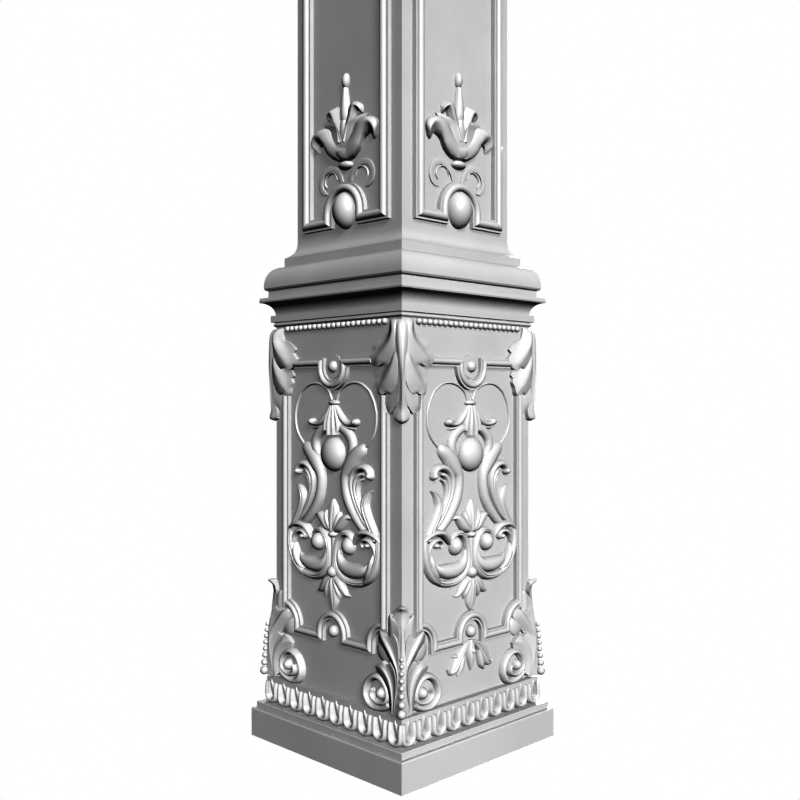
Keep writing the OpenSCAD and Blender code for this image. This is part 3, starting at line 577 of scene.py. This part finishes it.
def corner_piece(name, half, whole, quarter, node):
    """Half a leaf's parts on the front wall, their mirror images on the right wall, and whole parts already
    in metres, turned by quarters to another corner."""
    shells = list(whole)
    for points, faces in half:
        placed = stand(points, PEDESTAL)
        shells.append((placed, faces))
        shells.append((placed[:, [1, 0, 2]] * [-1, -1, 1], [f[:, ::-1] for f in faces]))
    turn = np.array(Matrix.Rotation(np.pi / 2 * quarter, 3, "Z"))
    return piece(name, [(points @ turn.T, faces) for points, faces in shells], [node])


CORNERS = ["front_right", "back_right", "back_left", "front_left"]

# %% Hanging leaf under the waist
lobe_1 = [
    [(11.2, 380.4, 2.5), (10, 380.4, 3), (8.4, 380.2, 3.5), (5.2, 380, 3.6), (2.4, 379.8, 3)],
    [(11.6, 376.2, 2.5), (8.3, 375.8, 5), (5.4, 375.6, 6.6), (2.2, 375.4, 6.4), (0.9, 375.3, 4.6)],
    [(13.7, 370, 2), (10, 369.8, 4), (5.2, 369.5, 7.4), (2.1, 368.6, 7), (0.6, 367.8, 5.2)],
    [(21.4, 367, 1.6), (15.2, 365.3, 2.8), (7.8, 363.5, 7.4), (4.4, 362, 7), (1, 360.4, 5.2)],
    [(31, 360.6, 2.2), (21.6, 359.3, 3.8), (12.6, 357.5, 7.5), (7.6, 356, 6.9), (1.8, 354.4, 5.2)],
    [(28.6, 356.6, 3.2), (23.4, 355.6, 4.6), (15, 354.6, 7.6), (9.4, 353, 6.8), (3, 351.4, 5.1)],
    [(33.8, 351.6, 4.2), (26.4, 351.8, 5.4), (17.5, 352, 7.6), (11.2, 350.6, 6.7), (4.4, 348.7, 5)],
    [(33.6, 346, 4.6), (27.5, 346.8, 6), (21.6, 347.2, 7.4), (14.9, 346, 6.4), (8, 345, 4.6)],
    [(27.6, 342.4, 5), (24.4, 341.9, 5.8), (21, 342.4, 6), (16.2, 344, 5.6), (10.4, 342.2, 4.2)]]
lobe_2 = [
    [(8.8, 357.5, 2), (5.7, 357.4, 4), (2.8, 357.2, 5), (0.6, 356.4, 5), (-1.3, 356.3, 4.6)],
    [(18.7, 348.3, 1.8), (11.1, 348, 3), (4.4, 347.7, 6.4), (1, 347, 6), (-1.6, 346, 4.8)],
    [(28.2, 337.4, 2.2), (18, 338.5, 3.4), (7.8, 339, 6.8), (3.4, 338.2, 6), (-0.8, 337.4, 4.6)],
    [(25.8, 333.8, 2.8), (19.2, 334, 4), (10.6, 334.6, 6.8), (5.2, 333, 6), (0.4, 331, 4.4)],
    [(27.4, 330, 3.6), (20.8, 330, 4.6), (12.8, 330.4, 6.7), (7, 328.8, 5.8), (2, 326.6, 4.3)],
    [(25.1, 325.6, 4.4), (21, 325.8, 5.4), (15.8, 326.6, 6.5), (9.8, 325, 5.6), (4.6, 322.6, 3.9)],
    [(24, 320.8, 4.8), (21.1, 321.2, 5.6), (18.4, 322.4, 5.7), (12.8, 321.6, 5.2), (8, 319.4, 3.8)],
    [(22.4, 318.2, 4.2), (19.7, 317.8, 4.8), (17, 318.6, 5), (13.5, 320.2, 4.4), (10.7, 318.2, 3)]]
lobe_3 = [
    [(12.2, 327.5, 1.5), (7.3, 327.4, 2.5), (1.5, 327.3, 3.4)],
    [(15.9, 320.6, 2.2), (8.7, 320.6, 3.2), (0.6, 320.5, 3.8)],
    [(17, 315, 2.6), (9.3, 315, 3.6), (0.4, 315, 4)],
    [(16.1, 309.6, 2.8), (10.3, 308.9, 3.6), (3.2, 309.6, 3.6)],
    [(14.1, 304.4, 2.4), (10.9, 302.6, 2.8), (6.3, 306.6, 3)]]
front_lobe = [
    [(-2.1, 380, 1.8), (0.5, 380, 2), (2.7, 380, 2.4)],
    [(-4, 376.4, 3.8), (-2, 376.6, 5), (1.2, 376.8, 5)],
    [(-4.8, 370.2, 4.6), (-2.4, 370.4, 6.3), (1.4, 370.6, 6)],
    [(-5.2, 358.1, 5), (-2.8, 358.3, 6.2), (1.4, 358.4, 5.7)],
    [(-5.4, 344.7, 5.2), (-3.2, 344.8, 5.5), (0, 344.9, 4.9)],
    [(-5.2, 331.3, 5), (-2.9, 331.3, 4.4), (0.4, 331.4, 4.3)],
    [(-4.6, 317.8, 4.4), (-2.2, 317.8, 3.8), (1.8, 317.8, 3.7)],
    [(-4.2, 309, 4), (-1.4, 309, 3.7), (3, 309, 3.3)],
    [(-4.1, 304.3, 3.8), (-0.3, 304.4, 4.2), (5.6, 305, 3.8)],
    [(-4.6, 299.5, 4.6), (-0.3, 299.5, 4.9), (5.4, 300.2, 4.2)],
    [(-4.5, 296.4, 4.4), (-0.2, 296.6, 4.6), (4.4, 297.8, 3.8)],
    [(-2.8, 294.6, 1.8), (1, 295, 1.8), (4.6, 296.8, 1.8)]]
hang = [corner(net) for net in (lobe_3, lobe_2, lobe_1, front_lobe)]
for k, name in enumerate(CORNERS):
    corner_piece("upper_leaf_" + name + "_carved", hang, [], k, "upper_leaf_" + name)
print("hanging leaf:", made[-1])

# %% Upright leaf over the base
blade = [
    [(22.8, 121.2, 3.6), (21.3, 122.4, 4.6), (10.4, 118.6, 5), (5.3, 122.4, 5)],
    [(25.4, 117.4, 2.4), (17.6, 118, 6.2), (9.8, 115.4, 5.2), (2, 119.8, 5.4)],
    [(24.4, 112.8, 2.4), (14, 113.9, 6.8), (7.6, 112.1, 5.2), (-0.5, 114.6, 5.4)],
    [(16.4, 104.5, 2.4), (7.6, 106.6, 7.2), (3.8, 106.1, 5.6), (-1.7, 107.1, 5.8)],
    [(10.2, 97.8, 2.6), (2.1, 99.9, 7.6), (0.2, 99.5, 6.3), (-2.5, 100.1, 6.2)],
    [(5, 91.2, 3.6), (-1.2, 93.2, 7.6), (-2, 93.3, 6.8), (-3, 93.6, 6.6)],
    [(1.4, 77.9, 5), (-2.2, 79.2, 7.2), (-2.7, 79.3, 7), (-3.2, 79.5, 6.8)]]
low_blade = [
    [(27.3, 91.5, 3.5), (26.2, 92.8, 4.5), (18.4, 98.4, 5), (14.6, 95.6, 4.8), (8, 98.8, 5.4)],
    [(26, 87.2, 3), (17.4, 91.6, 6.6), (13.6, 92.3, 5.6), (9, 92.6, 5.4), (2.7, 94, 6.8)],
    [(22.2, 81.3, 2.6), (11, 86.8, 7.4), (8.6, 86.8, 6.2), (5.2, 87.2, 6), (-0.1, 88.2, 7.4)],
    [(17.6, 76, 2.6), (7, 79.8, 7.6), (5.4, 80, 6.6), (3.2, 80.6, 6.4), (-0.6, 81.2, 7.6)],
    [(13.5, 72.2, 3), (5.3, 72.8, 7.6), (4.2, 72.9, 6.9), (2.7, 73.3, 6.7), (-0.1, 74, 7.6)],
    [(11, 67.5, 4), (5, 66, 7.2), (4, 66.2, 6.7), (2.9, 66.4, 6.7), (1.5, 66.8, 7.2)],
    [(10.2, 61, 4), (6.2, 58, 6.2), (5, 58, 6.2), (3.8, 58, 6.2), (2.6, 58, 6.2)]]
side_lobe = [
    [(12.1, 136.7, 2.6), (10.8, 137.8, 3.2), (9.9, 137.4, 3.2), (9.5, 136.2, 2.6)],
    [(13.3, 134.3, 2.6), (9.8, 134.4, 4), (7.4, 134.2, 3.8), (5.5, 133.7, 3.2)],
    [(13.5, 128.5, 2.6), (8.8, 128.8, 4.1), (4.8, 129, 3.8), (0.9, 129, 3.4)],
    [(13.5, 120.2, 2.6), (8.2, 121.4, 4), (3.6, 122.2, 3.8), (-0.5, 122.8, 3.8)],
    [(12.2, 108, 2.6), (7, 109, 3.8), (2.7, 110, 4), (-0.6, 110.5, 4.2)]]
stem_lobe = [
    [(-2.6, 146.6, 1.8), (0.4, 146, 1.8), (3, 144, 2)],
    [(-5.6, 146.4, 5), (-1.5, 145.4, 5), (2.8, 143, 4.4)],
    [(-5.8, 144.6, 5.6), (-1.5, 143.6, 5.4), (3.4, 141.4, 4.8)],
    [(-3.3, 142, 3), (-0.3, 141.4, 3.8), (3.9, 139.5, 4.7)],
    [(-2.5, 138.5, 2.2), (0.3, 138, 3.2), (4.4, 136.7, 4.2)],
    [(-2.3, 134.3, 2), (0.3, 134, 2.9), (3.4, 133.7, 3.6)],
    [(-2.7, 130, 2.4), (-0.9, 130, 2.9), (1.3, 130, 3.4)],
    [(-3.3, 121.8, 3), (-1.6, 121.5, 3.2), (0.1, 121.3, 3.6)],
    [(-4.1, 114, 3.8), (-2, 113.6, 3.8), (-0.1, 113.3, 4.2)],
    [(-5.6, 102.3, 5.4), (-3.6, 102, 5.8), (-2.4, 101.6, 6.4)],
    [(-6.6, 88.5, 6.4), (-4.4, 88, 6.6), (-2.6, 87.5, 7)],
    [(-7.2, 73.3, 6.8), (-4.2, 72.6, 7), (-0.6, 71.6, 7.1)],
    [(-7.4, 62.7, 7), (-2.4, 62.2, 6.8), (4.1, 61.3, 6)],
    [(-7.4, 57, 7), (-2.4, 57, 6.8), (6, 57, 6)]]
grown = [corner(net) for net in (side_lobe, blade, low_blade, stem_lobe)]
grown.append(boss(PEDESTAL - 19.4, 106.5, 9.5, 9.8, 3.2))
print("upright leaf sheets:", len(grown))

# %% Foot scrolls and pearls
EYE = [PEDESTAL - 25, 70.6]
turns = np.linspace(30, 555, 44)
angle = np.radians(turns)
radius = np.interp(turns, [30, 61, 90, 135, 166, 205, 240, 311, 375, 421, 455, 518, 555],
                   [15, 13.1, 13, 15.3, 15.8, 14.2, 13.3, 12.5, 12.4, 8.8, 7.6, 7.7, 5.9])
width = np.interp(turns, [30, 300, 430, 520, 555], [6.6, 6.2, 5.4, 5.4, 4])
height = np.interp(turns, [30, 555], [6.2, 6.6])
scroll = np.column_stack([EYE[0] + radius * np.cos(angle), EYE[1] - radius * np.sin(angle), width, height])
grown += [rib(scroll, steps=130, power=2), boss(EYE[0], EYE[1], 14, 13, 1.2, rings=6, around=36),
          boss(EYE[0] + 3.8, EYE[1] + 0.2, 5, 5.4, 8)]
PEARLS = [[104, 1.85, 6.2], [98.5, 2.0, 6.5], [92.8, 2.1, 6.9], [87.1, 2.3, 7.2], [81.1, 2.4, 7.4],
          [74.9, 2.65, 7.7], [68.1, 3.1, 8], [60.7, 3.9, 8.2]]
string = []
for z, r, relief in PEARLS:
    points, faces = ball(0, 0, 0, r)
    out = PEDESTAL + relief
    string.append((points[:, [0, 2, 1]] * MM + np.array([out, -out, z]) * MM, faces))
for k, name in enumerate(CORNERS):
    corner_piece("lower_leaf_" + name + "_carved", grown, string, k, "lower_leaf_" + name)
print("upright leaf:", made[-1])

# %% [markdown]
# ## Shaft flower and ball
# On the shaft a half egg stands in the arch, and a flower grows over it from a collar between two flat
# comma scrolls. Its big petals curl out and down, smaller ones stand behind them, and a bud on a cone ends
# it.

# %% Flower
comma = [[5.6, 507.4, 4.4, 1.3], [8.4, 514, 5.2, 1.5], [14.4, 520, 5.4, 1.5], [23.4, 521.8, 5.4, 1.5],
         [30.8, 518.6, 5.4, 1.5], [34.4, 511.4, 5.4, 1.5], [33, 504.6, 5, 1.5], [28.8, 501, 3.8, 1.4],
         [25, 500, 1, 1.2]]
inner_hook = [[12, 511, 0.8, 1.0], [15, 517, 1.6, 1.5], [21, 518, 1.8, 1.6], [26.4, 515, 1.8, 1.6],
              [28.6, 510, 1.8, 1.6], [26, 505.6, 1, 1.2]]
main_petal = [
    [(8, 526, 1), (7.5, 526.5, 3.5), (5.5, 527, 5.5), (3, 527.3, 6), (0, 527.5, 6)],
    [(13, 528.2, 1.2), (14, 529.5, 4.5), (11.5, 531, 6.5), (6, 532.8, 7.2), (0, 534, 7)],
    [(19.5, 533.6, 1.6), (20.5, 535, 5.6), (17, 536.5, 7.6), (10.5, 537.4, 7.6), (4.5, 537.6, 7)],
    [(23, 539.4, 2), (24, 540.5, 6), (20.5, 542, 8), (15, 542.9, 7.8), (10, 542.5, 6.5)],
    [(25.5, 542.4, 2.4), (27, 545, 6.4), (25, 547.8, 8.6), (19.5, 549.3, 7.8), (14.5, 549, 6)],
    [(28.5, 544, 2.6), (30.5, 547.4, 6), (30, 551.8, 8.6), (24.5, 554.6, 8), (18, 555.8, 5.6)],
    [(31.5, 545.2, 2.6), (34.5, 548.6, 5.6), (36, 553, 8.4), (32, 557.4, 7), (26, 559.5, 4)],
    [(34, 544.2, 2.6), (37, 546.6, 5.2), (40, 549.4, 7.6), (40.5, 554, 5.2), (36.5, 558, 2.4)],
    [(35.4, 541.2, 2), (38, 542.6, 4.4), (41.4, 544.8, 6.2), (43, 548.6, 4), (42, 552.4, 1.4)],
    [(35.6, 539.2, 1), (36.8, 539, 1.8), (38.4, 539.8, 2.4), (40.2, 541.8, 2), (40.9, 544.4, 1)]]
upright_petal = [
    [(7, 533.5, 5), (3, 535, 6.6), (-1, 536.5, 6.4)],
    [(15, 539.2, 4), (8.6, 540, 6.2), (-0.4, 539, 6.6)],
    [(20.4, 547.4, 3), (13, 547, 5.2), (1.6, 546.2, 7)],
    [(23.6, 555, 2.6), (15.6, 554, 4.6), (4.6, 554, 6.8)],
    [(27, 560, 2), (21.2, 559, 4), (14, 559.4, 5.8)],
    [(29, 562.6, 1.2), (27, 562.8, 1.8), (22.4, 562.4, 3)]]
top_petal = [
    [(5, 541, 6), (3.4, 541.5, 8), (0.4, 541.8, 6.4)],
    [(9, 553, 3.5), (6.8, 554.4, 6.6), (1.5, 556, 4.4)],
    [(13, 560.6, 3), (10.6, 561.6, 6.8), (4.6, 564, 3.6)],
    [(14.8, 565, 2.6), (13, 567.4, 7.2), (5.6, 570.6, 3)],
    [(16.4, 567.2, 2.6), (16, 571.2, 7.2), (9, 575.6, 2.6)],
    [(18.2, 566.8, 2.4), (20, 569.8, 6.4), (15.4, 575.4, 2.2)],
    [(19.2, 565.6, 2), (22, 567, 4.6), (21.6, 571.4, 1.4)],
    [(19.8, 564.2, 1), (21.4, 564.6, 1.8), (22.4, 566.4, 1)]]
bowl = [
    [(-6, 525.6, 1), (0, 525.2, 3), (6, 525.6, 1)],
    [(-10, 529, 4), (0, 527.6, 6.4), (10, 529, 4)],
    [(-12, 533.4, 6), (0, 531, 7.9), (12, 533.4, 6)],
    [(-11, 537, 6.6), (0, 534.6, 7.9), (11, 537, 6.6)],
    [(-9, 540, 5), (0, 537.6, 5), (9, 540, 5)]]
throat = [[0, 533, 22, 5], [0, 542, 21, 6], [0, 551, 15, 6.6], [0, 561, 8, 6]]
cone = [[0, 556, 9, 4], [0, 566, 11, 6], [0, 577, 9, 5.6], [0, 590.6, 4.6, 4]]
half_flower = [rib(comma, edge=0.8), rib(inner_hook), sheet(upright_petal), sheet(top_petal),
               sheet(main_petal)]
middle_flower = [rib(throat), rib(cone), boss(0, 597, 3.9, 7.2, 5), boss(0, 522, 8.6, 4.2, 6.4),
                 sheet(bowl, rows=20, columns=30)]
flower = both(half_flower) + middle_flower
egg = [boss(0, 482, 12.8, 16.6, 13.2, rings=24, around=56)]
for face in FACES:
    on_wall("shaft_flower_" + face + "_carved", flower, SHAFT, face, "shaft_flower_" + face)
    on_wall("shaft_ball_" + face + "_carved", egg, SHAFT, face, "shaft_ball_" + face)
print("flower:", made[-2])

# %% [markdown]
# ## Floor
# The studio is a white floor in a white surround. Both look pure white to the camera and give back hardly
# any light, so that the post's own shading stays clear. A mix by the light path's camera ray does this.

# %% Floor
def seen_or_not(tree, end, unseen, seen):
    """Gives the end node a mix of two shaders: seen for the camera's rays, unseen for all other light."""
    ray = shader_node(tree, "LightPath")
    mix = shader_node(tree, "MixShader")
    tree.links.new(ray.outputs["Is Camera Ray"], mix.inputs["Fac"])
    tree.links.new(unseen.outputs[0], mix.inputs[1])
    tree.links.new(seen.outputs[0], mix.inputs[2])
    tree.links.new(mix.outputs["Shader"], end.inputs["Surface"])


WHITE = (1, 1, 1, 1)
DIM = (0.03, 0.03, 0.03, 1)
bpy.ops.mesh.primitive_plane_add(size=40, location=(0, 0, -0.0005))
floor = bpy.context.object
floor.name = "studio_floor"
floor_paint = bpy.data.materials.new("studio_floor")
floor_paint.use_nodes = True
tree = floor_paint.node_tree
tree.nodes.clear()
seen_or_not(tree, shader_node(tree, "OutputMaterial"), shader_node(tree, "BsdfDiffuse", Color=DIM),
            shader_node(tree, "Emission", Color=WHITE, Strength=1.0))
floor.data.materials.append(floor_paint)
print("floor:", floor.name)

# %% [markdown]
# ## Suns
# The main light comes from the right and a little above. It is two suns in one direction: a wide soft one
# with shadows, and a strong even one without, which gives each facet the tone of its slope alone. A third
# sun stands behind the post, and lights the two far sides. The view is left raw, so that a tone is light
# times paint, with no film curve over it.

# %% World and lights
scene = bpy.context.scene
world = bpy.data.worlds.new("studio")
scene.world = world
world.use_nodes = True
tree = world.node_tree
tree.nodes.clear()
seen_or_not(tree, shader_node(tree, "OutputWorld"),
            shader_node(tree, "Background", Color=WHITE, Strength=0.012),
            shader_node(tree, "Background", Color=WHITE, Strength=1.0))


def sun(name, towards, strength, angle, shadow=True, bounces=8):
    """Sun that stands in the direction towards, as wide as angle degrees; its light bounces so many times."""
    data = bpy.data.lights.new(name, "SUN")
    data.energy = strength
    data.angle = np.radians(angle)
    data.use_shadow = shadow
    data.cycles.max_bounces = bounces
    lamp = bpy.data.objects.new(name, data)
    lamp.rotation_euler = Vector(towards).to_track_quat("Z", "Y").to_euler()
    scene.collection.objects.link(lamp)
    return lamp


KEY = (0.788, -0.435, 0.451)
BEHIND = (-0.5, 0.8, 0.3)
sun("key_soft", KEY, strength=1.35, angle=20)
sun("key_even", KEY, strength=4.0, angle=4, shadow=False, bounces=0)
sun("back_fill", BEHIND, strength=5, angle=20, bounces=1)
scene.view_settings.view_transform = "Raw"
print("lights set")

# %% [markdown]
# ## Camera
# The camera looks level at the post's near corner, from about a quarter of the post's height, so that
# uprights stay upright. Its place is given as a way back from the post's axis, a little aside, and up.

# %% Camera
AZIMUTH = np.radians(45.38)
DISTANCE = 915
ASIDE = 2.2
EYE_LEVEL = 314
SENSOR = 36
PICTURE = 800
FOCAL = 976      # focal length in the units of the picture's width
back = np.array([np.sin(AZIMUTH), -np.cos(AZIMUTH), 0])
right = np.array([np.cos(AZIMUTH), np.sin(AZIMUTH), 0])
place = (back * DISTANCE - right * ASIDE + [0, 0, EYE_LEVEL]) * MM
lens = bpy.data.cameras.new("studio_camera")
lens.sensor_width = SENSOR
lens.lens = FOCAL * SENSOR / PICTURE
lens.clip_end = 100
camera = bpy.data.objects.new("studio_camera", lens)
camera.location = place
camera.rotation_euler = Vector(back).to_track_quat("Z", "Y").to_euler()
scene.collection.objects.link(camera)
scene.camera = camera
print("camera at", place.round(3).tolist(), "lens", round(lens.lens, 2))

# %% [markdown]
# ## Counts
# The pieces made here are counted and printed, with their triangles and the largest of them.

# %% Counts
print("pieces:", len(made), "triangles:", sum(n for _, n in made), "largest:", max(made, key=lambda m: m[1]))
